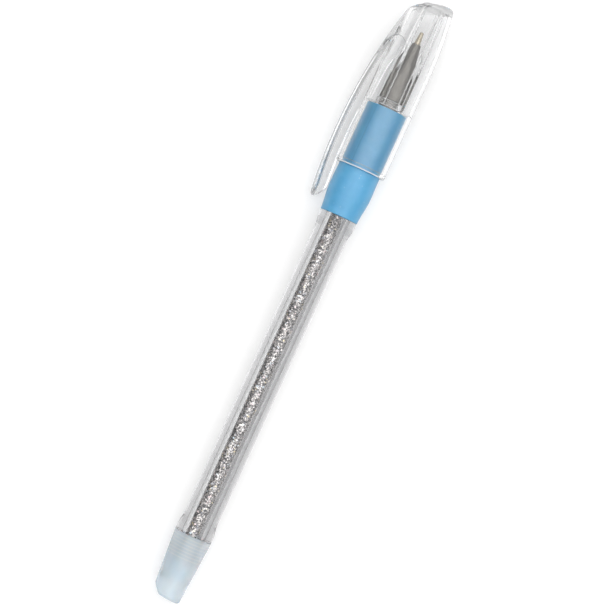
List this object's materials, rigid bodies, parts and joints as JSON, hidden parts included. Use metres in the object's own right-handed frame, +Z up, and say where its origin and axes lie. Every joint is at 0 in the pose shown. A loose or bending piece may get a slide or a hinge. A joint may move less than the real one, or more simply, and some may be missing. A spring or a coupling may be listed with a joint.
{
  "type": "ballpoint pen",
  "caption": "Capped stick ballpoint pen: clear round barrel over a glitter refill, blue rubber grip, milky end plug, metal nose cone, and a clear clip cap that pulls off.",
  "frame": {"origin": "on the table under the middle of the pen's box", "axes": "+X along the pen towards the cap, +Z up; the pen lies on the rear flare, the cap's rim and the clip, which points to +Y and down"},
  "size_m": [0.1478, 0.0152, 0.0123],
  "materials": {
    "clear_plastic": "clear, polished, thick walled",
    "blue_rubber": "soft, satin",
    "satin_nickel": "turned, satin nickel",
    "milky_blue": "translucent, pale blue",
    "glitter_tube": "silver with fine glitter",
    "ink": "blue ink",
    "white_plastic": "natural moulded plastic",
    "gold_metal": "turned, bright",
    "carbide": "polished",
    "clear_cap": "clear, polished"
  },
  "bodies": {
    "pen": {"barrel": "clear_plastic", "grip_sleeve": "blue_rubber", "nose_cone": "satin_nickel", "end_plug": "milky_blue", "ink_tube": "glitter_tube", "ink_column": "ink", "tip_holder": "white_plastic", "point_body": "gold_metal"},
    "cap": {"cap": "clear_cap"},
    "ball": {"writing_ball": "carbide"}
  },
  "joints": [
    {"name": "cap_pull", "type": "slide", "parent": "pen", "child": "cap", "axis": [0.9999, 0, 0.0159], "range_m": [0, 0.046]},
    {"name": "ball_roll", "type": "hinge", "parent": "pen", "child": "ball", "pos_m": [0.06631, -0.00158, 0.00643], "axis": [-0.0144, 0.4231, 0.906], "continuous": true}
  ]
}
